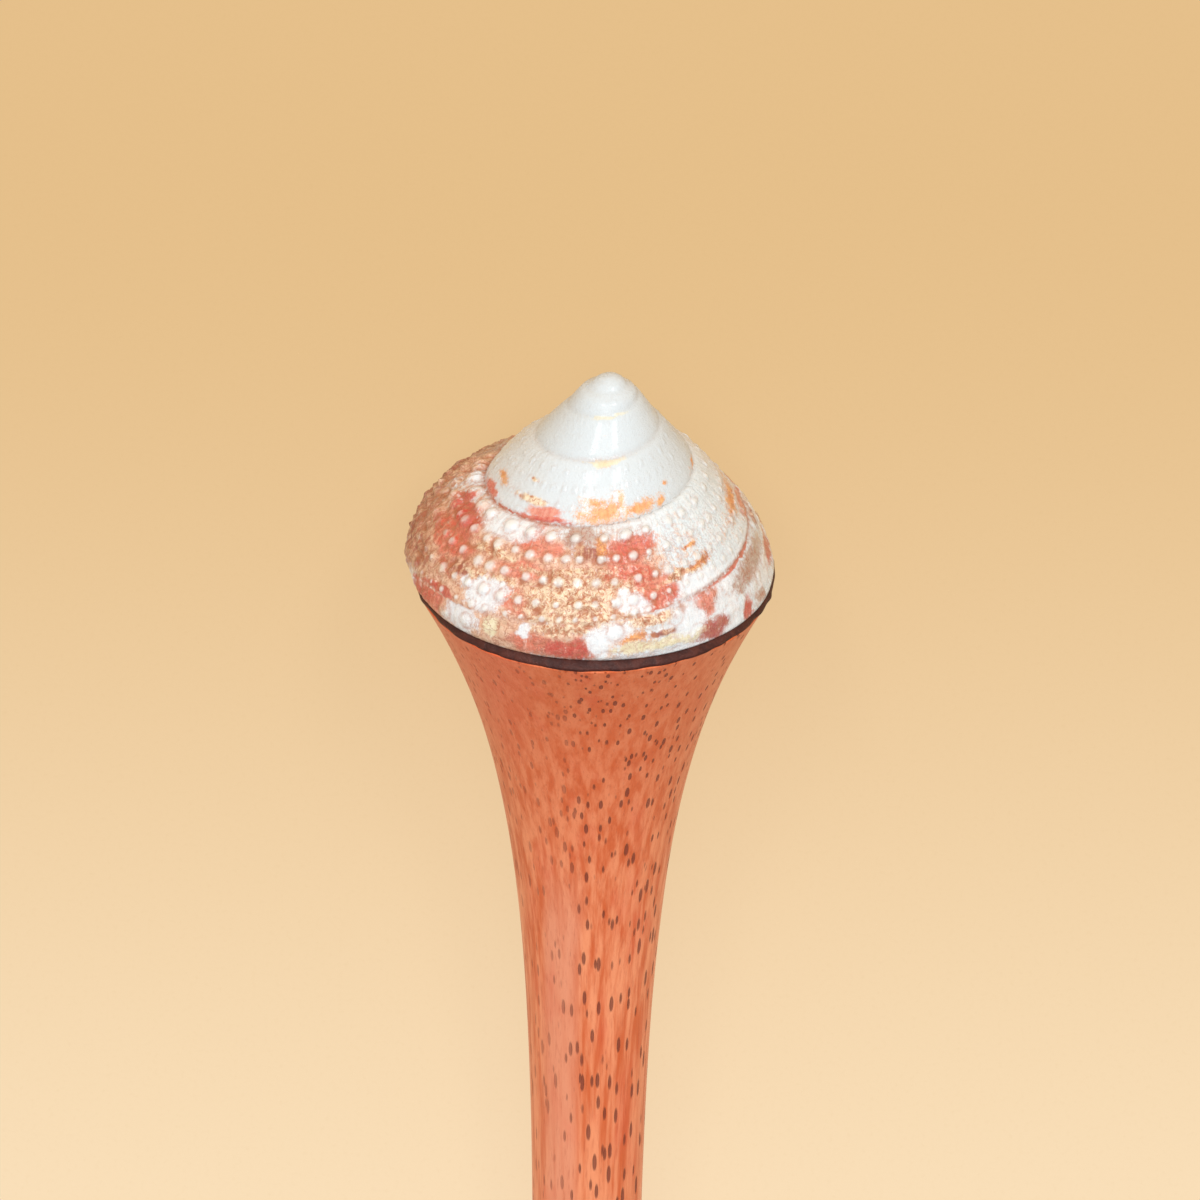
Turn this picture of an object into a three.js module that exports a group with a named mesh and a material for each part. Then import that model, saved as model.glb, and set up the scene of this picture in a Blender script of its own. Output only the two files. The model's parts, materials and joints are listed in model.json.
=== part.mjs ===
// A beaded spiral shell, cut flat across its base and glued on a flared, turned wooden stem.
// The stick is drawn upright, its axis along Z with the shell on top, and then laid down on its side.
// Lengths are in millimetres. A place on the shell's spiral is given in turns: turn 0 and every whole
// turn face the front (-Y), and rising turns run by the left, the back and the right down the shell.
import * as THREE from "three";

// Shell: the seam between the whorls winds down a horn whose point lies above the blunt tip.
const SEAM_RADIUS = 6.95; // from the coil's axis, at turn 0
const SEAM_WIDENING = 0.51; // growth of its logarithm in one turn
const SEAM_EASING = -0.0197; // the growth slows down with the square of the turn
const SEAM_DEPTH = 10.9; // below the horn's point, at turn 0
const SEAM_SINKING = 0.3795; // growth of its logarithm in one turn
const DIVE_START = 1.15; // from this turn the seam drops faster
const DIVE_END = 1.34; // and here it meets the flat base
const FIRST_TURN = -6; // everything above it is the tip
const BASE_DEPTH = 18.7; // the flat base below the horn's point
const TIP_DEPTH = 3.05; // the blunt tip below the horn's point
const SHELL_HEIGHT = BASE_DEPTH - TIP_DEPTH;
const TIP_ROUND = 1.2; // the radius over which the tip is rounded
const TIP_SLOPE = 0.9; // and how steeply it falls away further out
const COIL_LEAN = 0.056; // the tip leans to the right by this much of the height
const SEAM_SHOULDER = 0.04; // the step below a seam, as part of the whorl's width
const RIM_BACK = 12.65; // the outer lip is ground off at the back, this far from the axis

// How far each whorl swells out, as part of its width, and the rim's radius round the base.
const SWELLINGS = [
  [-0.85, 0.045],
  [-0.6, 0.08],
  [-0.3, 0.045],
  [0, 0.05],
  [0.15, 0.09],
  [0.3, 0.14],
  [0.45, 0.125],
  [0.6, 0.05],
  [0.75, 0.03],
  [1, 0.12],
  [DIVE_END, 0.08],
];
const RIM_RADII = [
  [0, 11.7],
  [0.22, 12.2],
  [DIVE_END - 1, seamRadius(DIVE_END)],
  [0.5, 13.05],
  [0.64, 12.6],
  [0.78, 12.1],
  [1, 11.7],
];

// Wooden stem: its radius falls from the head's rim towards the shaft.
const HEAD_RADIUS = 12.25;
const SHAFT_RADIUS = 3.55;
const FLARE_LENGTH = 15.4;
const FLARE_POWER = 1.07;
const STEM_LENGTH = 83;
const END_EASING = 0.8; // the radius of the rounded edge at the plain end

// Dark filler between the two: a thin wedge, thickest at the front.
const FILLER_RADIUS = 12.15;
const FILLER_UPPER_RADIUS = 11.7;
const FILLER_MEAN = 0.55;
const FILLER_WEDGE = 0.35; // more than the mean at the front and less at the back
const GLUE_GAP = 0.03; // between two pieces

// Fineness of the surfaces
const SHELL_COLUMNS = 80;
const SHELL_ROWS = 30;
const STEPS_PER_WHORL = 12;
const STEM_COLUMNS = 48;
const FLARE_RINGS = 26;
const EDGE_RINGS = 4;

const materials = {
  shell: new THREE.MeshStandardMaterial({ color: 0xe9cfc2, roughness: 0.25, metalness: 0 }),
  filler: new THREE.MeshStandardMaterial({ color: 0x4a262c, roughness: 0.5, metalness: 0 }),
  wood: new THREE.MeshStandardMaterial({ color: 0xc9774f, roughness: 0.4, metalness: 0 }),
};

// The value at x of a curve that eases from each [x, value] point to the next.
function easeThrough(points, x) {
  const after = points.findIndex((point) => point[0] > x);
  if (after < 0) return points.at(-1)[1];
  if (after === 0) return points[0][1];
  const [[x0, y0], [x1, y1]] = [points[after - 1], points[after]];
  return THREE.MathUtils.lerp(y0, y1, THREE.MathUtils.smoothstep(x, x0, x1));
}

function seamRadius(turn) {
  return SEAM_RADIUS * Math.exp(SEAM_WIDENING * turn + SEAM_EASING * turn * turn);
}

function plainSeamDepth(turn) {
  return SEAM_DEPTH * Math.exp(SEAM_SINKING * turn);
}

function seamDepth(turn) {
  const missing = BASE_DEPTH - plainSeamDepth(DIVE_END);
  const dive = Math.max(0, turn - DIVE_START) / (DIVE_END - DIVE_START);
  return plainSeamDepth(turn) + missing * dive * dive;
}

// The tip's rounded cap: no part of the shell lies above it.
function capDepth(radius) {
  return TIP_DEPTH + TIP_SLOPE * (Math.hypot(radius, TIP_ROUND) - TIP_ROUND);
}

function rimRadius(turn) {
  const round = easeThrough(RIM_RADII, turn - Math.floor(turn));
  const fromBack = Math.cos(2 * Math.PI * (turn - 0.5));
  return fromBack > 0.5 ? Math.min(round, RIM_BACK / fromBack) : round;
}

// One whorl's outline from the seam at its upper edge to the next seam or the base, as (radius, depth).
function whorlOutline(turn) {
  const upper = new THREE.Vector2(seamRadius(turn), seamDepth(turn));
  const reachesBase = turn + 1 > DIVE_END;
  const lower = reachesBase
    ? new THREE.Vector2(rimRadius(turn), BASE_DEPTH)
    : new THREE.Vector2(seamRadius(turn + 1), seamDepth(turn + 1));
  const across = lower.clone().sub(upper);
  const outward = new THREE.Vector2(across.y, -across.x);
  const swelling = easeThrough(SWELLINGS, turn);
  return Array.from({ length: STEPS_PER_WHORL }, (_, step) => {
    const v = step / STEPS_PER_WHORL;
    const shoulder = SEAM_SHOULDER * (1 - Math.exp(-v / 0.07)) * (1 - v ** 3);
    const arch = 4 * v * (1 - v) * (0.8 + 0.4 * v) * (swelling - SEAM_SHOULDER);
    const point = upper.clone().addScaledVector(across, v).addScaledVector(outward, shoulder + arch);
    return point.setY(Math.max(point.y, capDepth(point.x)));
  });
}

// The shell's outline from the tip down to the rim at one turn from the front, as evenly spaced points.
function shellOutline(turn) {
  const whorls = [];
  for (let start = turn + FIRST_TURN; start < DIVE_END && start <= turn + 1; start += 1) {
    whorls.push(...whorlOutline(start));
  }
  const points = [new THREE.Vector2(0, TIP_DEPTH), ...whorls, new THREE.Vector2(rimRadius(turn), BASE_DEPTH)];
  return new THREE.SplineCurve(points).getSpacedPoints(SHELL_ROWS).slice(1);
}

// The closed shell: a tip point, rings down to the rim, and a flat base.
function shellGeometry() {
  const positions = [COIL_LEAN * SHELL_HEIGHT, 0, SHELL_HEIGHT];
  for (let column = 0; column < SHELL_COLUMNS; column += 1) {
    const turn = column / SHELL_COLUMNS;
    const angle = -Math.PI / 2 - 2 * Math.PI * turn;
    for (const point of shellOutline(turn)) {
      const height = BASE_DEPTH - point.y;
      positions.push(point.x * Math.cos(angle) + COIL_LEAN * height, point.x * Math.sin(angle), height);
    }
  }
  const baseCentre = positions.length / 3;
  positions.push(0, 0, 0);
  const vertex = (column, row) => 1 + (column % SHELL_COLUMNS) * SHELL_ROWS + row;
  const faces = [];
  for (let column = 0; column < SHELL_COLUMNS; column += 1) {
    faces.push(0, vertex(column + 1, 0), vertex(column, 0));
    for (let row = 1; row < SHELL_ROWS; row += 1) {
      const [a, b] = [vertex(column, row - 1), vertex(column + 1, row - 1)];
      const [c, d] = [vertex(column, row), vertex(column + 1, row)];
      faces.push(a, b, c, b, d, c);
    }
    faces.push(baseCentre, vertex(column, SHELL_ROWS - 1), vertex(column + 1, SHELL_ROWS - 1));
  }
  return new THREE.BufferGeometry()
    .setAttribute("position", new THREE.Float32BufferAttribute(positions, 3))
    .setIndex(faces);
}

function stemRadius(distance) {
  return SHAFT_RADIUS + (HEAD_RADIUS - SHAFT_RADIUS) * Math.exp(-((distance / FLARE_LENGTH) ** FLARE_POWER));
}

// The stem's outline from its flat end up to the middle of the head, as (radius, height).
function stemOutline() {
  const shaftEnd = STEM_LENGTH - END_EASING;
  const endRadius = stemRadius(shaftEnd);
  const outline = [new THREE.Vector2(0, -STEM_LENGTH)];
  for (let ring = 0; ring <= EDGE_RINGS; ring += 1) {
    const angle = (Math.PI / 2) * (ring / EDGE_RINGS);
    const inset = END_EASING * (1 - Math.sin(angle));
    outline.push(new THREE.Vector2(endRadius - inset, -shaftEnd - END_EASING * Math.cos(angle)));
  }
  for (let ring = FLARE_RINGS - 1; ring >= 0; ring -= 1) {
    const distance = shaftEnd * (ring / FLARE_RINGS) ** 1.6;
    outline.push(new THREE.Vector2(stemRadius(distance), -distance));
  }
  outline.push(new THREE.Vector2(0, 0));
  return outline;
}

function stemGeometry() {
  return new THREE.LatheGeometry(stemOutline(), STEM_COLUMNS).rotateX(Math.PI / 2);
}

// A disc whose upper face follows the shell's slanting base.
function fillerGeometry() {
  const disc = new THREE.CylinderGeometry(FILLER_UPPER_RADIUS, FILLER_RADIUS, 1, STEM_COLUMNS);
  disc.rotateX(Math.PI / 2);
  const places = disc.getAttribute("position");
  for (let i = 0; i < places.count; i += 1) {
    const upper = fillerThickness(places.getY(i)) - GLUE_GAP;
    places.setZ(i, places.getZ(i) > 0 ? upper : GLUE_GAP);
  }
  return disc;
}

function fillerThickness(y) {
  return FILLER_MEAN - (FILLER_WEDGE * y) / HEAD_RADIUS;
}

function namedMesh(name, geometry, material) {
  const mesh = new THREE.Mesh(geometry, material);
  mesh.name = name;
  return mesh;
}

// Lying down, the stick touches the floor with the rim's ground flat and with its thin end.
function restingPitch() {
  const slant = Math.atan(FILLER_WEDGE / HEAD_RADIUS);
  const rim = new THREE.Vector2(RIM_BACK * Math.cos(slant), fillerThickness(RIM_BACK));
  return Math.min(...stemOutline().map((point) => Math.atan2(rim.x - point.x, rim.y - point.y)));
}

const shell = namedMesh("turban_shell", shellGeometry(), materials.shell);
shell.rotation.x = -Math.atan(FILLER_WEDGE / HEAD_RADIUS);
shell.position.z = FILLER_MEAN;

const stick = new THREE.Group();
stick.add(shell);
stick.add(namedMesh("seam_filler", fillerGeometry(), materials.filler));
stick.add(namedMesh("wooden_stem", stemGeometry(), materials.wood));

// Turn the front of the shell up, then lower the tip towards +X until only the resting pitch is left.
stick.rotation.set(0, Math.PI / 2 - restingPitch(), -Math.PI / 2);
const lying = new THREE.Box3().setFromObject(stick, true);
const middle = lying.getCenter(new THREE.Vector3());
stick.position.set(-middle.x, -middle.y, -lying.min.z);

const group = new THREE.Group();
group.add(stick);

export default group;
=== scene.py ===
"""A beaded spiral shell on a flared, turned wooden stem, lying on a pale floor.

The stick is described upright, as its maker holds it: X to the right, Y to the back, Z along the stem
towards the shell's tip, from the middle of the wooden head. A `Placement` then lays every piece down where
the frame has it. A place on the shell's spiral is given in turns: turn 0 and every whole turn face the
front, and rising turns run by the left, the back and the right down the shell.
"""

import json
import logging
import math
from dataclasses import dataclass, field
from enum import Enum
from typing import ClassVar

import bpy
import numpy as np
from mathutils import Matrix, Vector


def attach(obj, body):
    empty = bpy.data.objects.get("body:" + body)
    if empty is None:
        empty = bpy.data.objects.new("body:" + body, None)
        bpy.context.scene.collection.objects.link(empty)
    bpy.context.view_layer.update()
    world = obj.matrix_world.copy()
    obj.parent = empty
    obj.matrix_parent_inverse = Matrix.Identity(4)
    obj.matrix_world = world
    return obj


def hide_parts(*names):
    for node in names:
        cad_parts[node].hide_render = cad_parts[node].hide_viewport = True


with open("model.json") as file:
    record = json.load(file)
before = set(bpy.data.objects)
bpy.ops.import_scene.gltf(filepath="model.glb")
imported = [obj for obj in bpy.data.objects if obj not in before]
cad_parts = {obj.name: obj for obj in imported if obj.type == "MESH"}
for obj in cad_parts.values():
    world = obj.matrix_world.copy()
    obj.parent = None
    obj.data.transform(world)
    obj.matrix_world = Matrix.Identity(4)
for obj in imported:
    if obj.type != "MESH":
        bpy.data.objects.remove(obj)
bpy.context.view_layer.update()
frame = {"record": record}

log = logging.getLogger("turban_shell")

MM = 0.001
TURN = 2 * math.pi

Colour = tuple[float, float, float]
Curve = tuple[tuple[float, float], ...]
Span = tuple[float, float]


# ---------------------------------------------------------------- numbers


def ease_through(points: Curve, x: np.ndarray) -> np.ndarray:
    """Eases from each (x, value) point to the next.

    Args:
        points: the points, in rising x.
        x: where the values are wanted.

    Returns:
        The value at each x; beyond the ends, the end's value.
    """
    places = np.array([point[0] for point in points])
    values = np.array([point[1] for point in points])
    after = np.clip(np.searchsorted(places, x, side="right"), 1, len(points) - 1)
    part = np.clip((x - places[after - 1]) / (places[after] - places[after - 1]), 0, 1)
    part = part * part * (3 - 2 * part)
    return values[after - 1] + (values[after] - values[after - 1]) * part


def smooth_step(low: float, high: float, x: np.ndarray) -> np.ndarray:
    """Returns 0 below low, 1 above high, and a smooth rise between; a low above high falls."""
    part = np.clip((x - low) / (high - low), 0, 1)
    return part * part * (3 - 2 * part)


class Cloud:
    """Smooth seeded noise in space, between -1 and 1."""

    SIZE = 64

    def __init__(self, seed: int) -> None:
        """Fills the lattice.

        Args:
            seed: the same seed gives the same noise.
        """
        draw = np.random.default_rng(seed)
        self.lattice = draw.uniform(-1, 1, (self.SIZE, self.SIZE, self.SIZE))

    def at(self, places: np.ndarray, grain: float) -> np.ndarray:
        """Reads the noise.

        Args:
            places: points, with x, y and z in the last axis.
            grain: the size of one lump, in the points' unit.

        Returns:
            One value for each point.
        """
        scaled = places / grain + self.SIZE
        whole = np.floor(scaled).astype(int)
        part = scaled - whole
        part = part * part * (3 - 2 * part)
        total = np.zeros(places.shape[:-1])
        for corner in np.ndindex(2, 2, 2):
            index = (whole + np.array(corner)) % self.SIZE
            weight = np.prod(np.where(np.array(corner) == 1, part, 1 - part), axis=-1)
            total += weight * self.lattice[index[..., 0], index[..., 1], index[..., 2]]
        return total


# ---------------------------------------------------------------- placing


@dataclass
class Placement:
    """Lays the upright stick down where the frame has it, from the mount on the stem's flat end."""

    stem_length: float

    def matrix(self) -> Matrix:
        """Returns the matrix from upright places to places in the frame."""
        mount = next(m for m in frame["record"]["mounts"] if m["name"] == "stem_end")
        towards_tip = -Vector(mount["axis"]).normalized()
        left = Vector((0, 1, 0))
        upwards = towards_tip.cross(left)
        origin = Vector(mount["pos_m"]) + towards_tip * self.stem_length
        columns = Matrix((-left, -upwards, towards_tip)).transposed().to_4x4()
        return Matrix.Translation(origin) @ columns


def mesh_object(name: str, places: np.ndarray, faces: list, laid: Matrix) -> bpy.types.Object:
    """Makes a smooth mesh piece from upright places.

    Args:
        name: the piece's name.
        places: one row of x, y and z for each vertex, upright.
        faces: the vertex numbers of each face, counter-clockwise from outside.
        laid: the matrix that lays the piece down.

    Returns:
        The new object, with the upright places in millimetres kept as its attribute "upright".
    """
    turned = places @ np.array(laid.to_3x3()).T + np.array(laid.translation)
    mesh = bpy.data.meshes.new(name)
    mesh.from_pydata(turned.tolist(), [], faces)
    mesh.shade_smooth()
    set_attribute(mesh, "upright", places / MM)
    piece = bpy.data.objects.new(name, mesh)
    bpy.context.scene.collection.objects.link(piece)
    return piece


def set_attribute(mesh: bpy.types.Mesh, name: str, values: np.ndarray) -> None:
    """Keeps a number or a vector for each vertex, for the finishes to read."""
    if values.ndim == 1:
        mesh.attributes.new(name, "FLOAT", "POINT").data.foreach_set("value", values.astype(np.float32))
    else:
        mesh.attributes.new(name, "FLOAT_VECTOR", "POINT").data.foreach_set(
            "vector", values.astype(np.float32).ravel()
        )


def capped_faces(columns: int, rows: int) -> list:
    """Joins a closed ring of columns and shuts it, with vertex 0 in its top's middle and 1 in its bottom's.

    Args:
        columns: how many columns the ring has, numbered from vertex 2.
        rows: how many vertices each column has, numbered downwards.

    Returns:
        The faces.
    """
    starts = [(2 + column * rows, 2 + (column + 1) % columns * rows) for column in range(columns)]
    faces = [
        (here + row, there + row, there + row + 1, here + row + 1)
        for here, there in starts
        for row in range(rows - 1)
    ]
    for here, there in starts:
        faces.append((0, there, here))
        faces.append((1, here + rows - 1, there + rows - 1))
    return faces


# ---------------------------------------------------------------- shader words


class Term:
    """A socket that can be used in sums."""

    def __init__(self, surface: "Surface", socket: bpy.types.NodeSocket) -> None:
        """Wraps a socket of a surface's node tree."""
        self.surface = surface
        self.socket = socket

    def _math(self, operation: str, first: object, second: object) -> "Term":
        """Adds a Math node and returns its value."""
        return self.surface.node("ShaderNodeMath", {"operation": operation}, {0: first, 1: second}).value()

    def __add__(self, other: object) -> "Term":
        """Returns self + other."""
        return self._math("ADD", self, other)

    def __radd__(self, other: object) -> "Term":
        """Returns other + self."""
        return self._math("ADD", other, self)

    def __sub__(self, other: object) -> "Term":
        """Returns self - other."""
        return self._math("SUBTRACT", self, other)

    def __rsub__(self, other: object) -> "Term":
        """Returns other - self."""
        return self._math("SUBTRACT", other, self)

    def __mul__(self, other: object) -> "Term":
        """Returns self * other."""
        return self._math("MULTIPLY", self, other)

    def __rmul__(self, other: object) -> "Term":
        """Returns other * self."""
        return self._math("MULTIPLY", other, self)

    def step(self, low: float, high: float) -> "Term":
        """Returns 0 below low, 1 above high, and a smooth rise between; a low above high falls."""
        settings = {"interpolation_type": "SMOOTHSTEP", "clamp": True}
        rising = low < high
        ends = {1: min(low, high), 2: max(low, high), 3: 0.0 if rising else 1.0, 4: 1.0 if rising else 0.0}
        return self.surface.node("ShaderNodeMapRange", settings, {0: self, **ends}).value()


class Added:
    """A node that was added to a surface."""

    def __init__(self, surface: "Surface", node: bpy.types.Node) -> None:
        """Wraps the node."""
        self.surface = surface
        self.node = node

    def value(self, output: object = 0) -> Term:
        """Returns one of the node's outputs, by its name or number."""
        return Term(self.surface, self.node.outputs[output])


class Surface:
    """A new material, and the nodes that make its finish."""

    def __init__(self, name: str) -> None:
        """Starts an empty material with an output."""
        self.material = bpy.data.materials.new(name)
        self.material.use_nodes = True
        self.tree = self.material.node_tree
        self.tree.nodes.clear()

    def node(self, kind: str, settings: dict | None = None, sockets: dict | None = None) -> Added:
        """Adds a node.

        Args:
            kind: the node's type.
            settings: its own properties, set first.
            sockets: for each input, by name or number, a value, a Term or an Added node's first output.

        Returns:
            The added node.
        """
        made = self.tree.nodes.new(kind)
        for name, setting in (settings or {}).items():
            setattr(made, name, setting)
        for key, value in (sockets or {}).items():
            if isinstance(value, Added):
                value = value.value()
            if isinstance(value, Term):
                self.tree.links.new(value.socket, made.inputs[key])
            else:
                made.inputs[key].default_value = value
        return Added(self, made)

    def kept(self, name: str) -> Term:
        """Reads a number kept for each vertex."""
        return self.node("ShaderNodeAttribute", {"attribute_name": name}).value("Fac")

    def kept_place(self, name: str) -> Term:
        """Reads a vector kept for each vertex."""
        return self.node("ShaderNodeAttribute", {"attribute_name": name}).value("Vector")

    def stretch(self, place: Term, by: Colour) -> Term:
        """Multiplies a vector's parts."""
        return self.node("ShaderNodeVectorMath", {"operation": "MULTIPLY"}, {0: place, 1: by}).value()

    def noise(self, place: Term, scale: float, detail: float = 2.0, roughness: float = 0.5,
              distortion: float = 0.0) -> Term:
        """Adds soft noise.

        Args:
            place: where it is read.
            scale: lumps in one unit of the place.
            detail: how many finer layers it has.
            roughness: how strong they are.
            distortion: how far it is stirred.

        Returns:
            Values around 0.5.
        """
        sockets = {"Vector": place, "Scale": scale, "Detail": detail, "Roughness": roughness}
        return self.node("ShaderNodeTexNoise", None, {**sockets, "Distortion": distortion}).value(0)

    def mixed(self, part: object, first: object, second: object, how: str = "MIX") -> Term:
        """Mixes two colours.

        Args:
            part: 0 gives the first and 1 the second.
            first: a Term or a colour.
            second: a Term or a colour.
            how: the way they are mixed.

        Returns:
            The mixed colour.
        """
        settings = {"data_type": "RGBA", "blend_type": how}
        sockets = {0: part, 6: opaque(first), 7: opaque(second)}
        return self.node("ShaderNodeMix", settings, sockets).value(2)

    def bump(self, height: Term, depth: float, under: Term | None = None) -> Term:
        """Turns a height into a surface normal.

        Args:
            height: the height, from 0 to 1.
            depth: the real depth of a height of 1.
            under: a normal that it lies on.

        Returns:
            The normal.
        """
        sockets = {"Height": height, "Distance": depth, "Strength": 1.0}
        if under is not None:
            sockets["Normal"] = under
        return self.node("ShaderNodeBump", None, sockets).value("Normal")

    def finish(self, sockets: dict) -> bpy.types.Material:
        """Ends the material with its shader.

        Args:
            sockets: the shader's inputs.

        Returns:
            The material.
        """
        shader = self.node("ShaderNodeBsdfPrincipled", None, sockets)
        self.node("ShaderNodeOutputMaterial", None, {"Surface": shader})
        return self.material


def opaque(colour: object) -> object:
    """Gives a plain colour its alpha, and passes a Term on."""
    return colour if isinstance(colour, Term) else (*colour, 1.0)


# ---------------------------------------------------------------- the shell's form


@dataclass(frozen=True)
class Coil:
    """The shell's form: a seam that winds down a horn, and the whorls between its turns. In millimetres."""

    seam_radius: float = 6.95
    seam_widening: float = 0.51
    seam_easing: float = -0.0197
    seam_depth: float = 10.9
    seam_sinking: float = 0.3795
    dive_start: float = 1.15
    dive_end: float = 1.34
    first_turn: int = -6
    base_depth: float = 18.7
    tip_depth: float = 3.45
    tip_round: float = 1.2
    tip_slope: float = 0.9
    lean: float = 0.056
    shoulder: float = 0.022
    rim_back: float = 12.65
    swellings: Curve = (
        (-0.85, 0.02), (-0.7, 0.055), (-0.6, 0.09), (-0.45, 0.07), (-0.3, 0.04), (0, 0.045),
        (0.15, 0.09), (0.3, 0.14), (0.4, 0.18), (0.47, 0.175), (0.6, 0.07), (0.75, 0.03),
        (1, 0.12), (1.34, 0.08),
    )

    def radius(self, turn: np.ndarray) -> np.ndarray:
        """Returns the seam's distance from the coil's axis."""
        return self.seam_radius * np.exp(self.seam_widening * turn + self.seam_easing * turn * turn)

    def plain_depth(self, turn: np.ndarray) -> np.ndarray:
        """Returns the seam's depth below the horn's point if it never dived."""
        return self.seam_depth * np.exp(self.seam_sinking * turn)

    def depth(self, turn: np.ndarray) -> np.ndarray:
        """Returns the seam's depth below the horn's point."""
        missing = self.base_depth - self.plain_depth(self.dive_end)
        dive = np.maximum(0, turn - self.dive_start) / (self.dive_end - self.dive_start)
        return self.plain_depth(turn) + missing * dive * dive

    def rim(self, turn: np.ndarray) -> np.ndarray:
        """Returns the radius round the flat base, ground off at the back."""
        radii = (
            (0, 11.7), (0.22, 12.2), (self.dive_end - 1, float(self.radius(self.dive_end))),
            (0.5, 13.05), (0.64, 12.6), (0.78, 12.1), (1, 11.7),
        )
        round_rim = ease_through(radii, np.mod(turn, 1.0))
        from_back = np.cos(TURN * (turn - 0.5))
        ground_off = np.minimum(round_rim, self.rim_back / np.maximum(from_back, 0.5))
        return np.where(from_back > 0.5, ground_off, round_rim)

    def lower_edge(self, turn: np.ndarray) -> tuple[np.ndarray, np.ndarray]:
        """Returns the radius and depth where the whorl that starts at a turn ends."""
        cut = turn + 1 > self.dive_end
        return (
            np.where(cut, self.rim(turn), self.radius(turn + 1)),
            np.where(cut, self.base_depth, self.depth(turn + 1)),
        )

    def outline(self, turn: np.ndarray, across: np.ndarray) -> tuple[np.ndarray, np.ndarray]:
        """Gives points of the whorls' outlines.

        Args:
            turn: the turn of each point's upper seam.
            across: how far it is from that seam to the next or to the base, from 0 to 1.

        Returns:
            The points' radii and depths.
        """
        radius, depth = self.radius(turn), self.depth(turn)
        low_radius, low_depth = self.lower_edge(turn)
        wide, deep = low_radius - radius, low_depth - depth
        shoulder = self.shoulder * (1 - np.exp(-across / 0.07)) * (1 - across**3)
        arch = 4 * across * (1 - across) * (0.8 + 0.4 * across)
        out = shoulder + arch * (ease_through(self.swellings, turn) - self.shoulder)
        radii = radius + wide * across + deep * out
        depths = depth + deep * across - wide * out
        cap = self.tip_depth + self.tip_slope * (np.hypot(radii, self.tip_round) - self.tip_round)
        return radii, np.maximum(depths, cap)

    def width(self, turn: np.ndarray) -> np.ndarray:
        """Returns the width of the visible whorl."""
        low_radius, low_depth = self.lower_edge(turn)
        return np.hypot(low_radius - self.radius(turn), low_depth - self.depth(turn))

    def whole_width(self, turn: np.ndarray) -> np.ndarray:
        """Returns the width that the whorl would have if the base weren't cut."""
        return np.hypot(
            self.radius(turn + 1) - self.radius(turn), self.plain_depth(turn + 1) - self.plain_depth(turn)
        )


@dataclass(frozen=True)
class BeadRow:
    """A row of beads that winds down the shell. In millimetres."""

    across: float  # of the whole whorl's width, at turn 0
    slope: float  # how that changes in a turn
    spacing: float  # in turns
    radius: float
    height: float
    seed: int

    KINDS: ClassVar[int] = 256  # of bead, before a row repeats itself


class Stain(Enum):
    """What a patch of the shell is coloured with, and its colour. Later ones lie over earlier ones."""

    # milky bluish white shell, on its right side partly painted pearly sheen
    MILK = (0.83, 0.885, 0.90)
    BLUSH = (0.86, 0.555, 0.375)
    GREY = (0.56, 0.43, 0.36)
    PINK = (0.82, 0.30, 0.20)
    ROSE = (0.74, 0.165, 0.095)
    CRIMSON = (0.62, 0.065, 0.035)
    BROWN = (0.75, 0.47, 0.29)
    CRUST = (0.92, 0.70, 0.44)
    AMBER = (0.86, 0.28, 0.045)
    PLUM = (0.48, 0.11, 0.08)
    YELLOW = (0.90, 0.81, 0.57)
    CHALK = (0.90, 0.92, 0.93)


@dataclass(frozen=True)
class Patch:
    """A stained patch of the shell, in turns and parts of the visible whorl."""

    stain: Stain
    turn: float
    across: float
    half_turn: float
    half_across: float


def patches_of(stain: Stain, *places: tuple[float, float, float, float]) -> list[Patch]:
    """Returns patches of one stain, each from its turn, its part across and half its size in both."""
    return [Patch(stain, *place) for place in places]


UPPER_PATCHES = (
    *patches_of(Stain.YELLOW, (-2.0, 0.02, 0.09, 0.05), (-1.0, 0.03, 0.05, 0.05)),
    *patches_of(
        Stain.AMBER,
        (-1.0, 0.05, 0.012, 0.03), (-1.0, 0.83, 0.03, 0.16), (-1.028, 0.72, 0.01, 0.16),
        (-1.06, 0.87, 0.026, 0.1), (-0.985, 0.66, 0.016, 0.06), (-1.105, 0.9, 0.008, 0.06),
        (-0.785, 0.68, 0.02, 0.05), (-1.131, 0.66, 0.004, 0.04), (-1.24, 0.92, 0.02, 0.05),
    ),
    *patches_of(Stain.CRUST, (-0.87, 0.7, 0.035, 0.06), (-0.855, 0.42, 0.012, 0.03)),
    *patches_of(Stain.PINK, (-0.905, 0.86, 0.03, 0.09)),
    *patches_of(Stain.ROSE, (-0.9, 0.96, 0.045, 0.03), (-0.775, 0.92, 0.03, 0.08)),
    *patches_of(Stain.CRIMSON, (-0.87, 0.99, 0.09, 0.02)),
)
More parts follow.
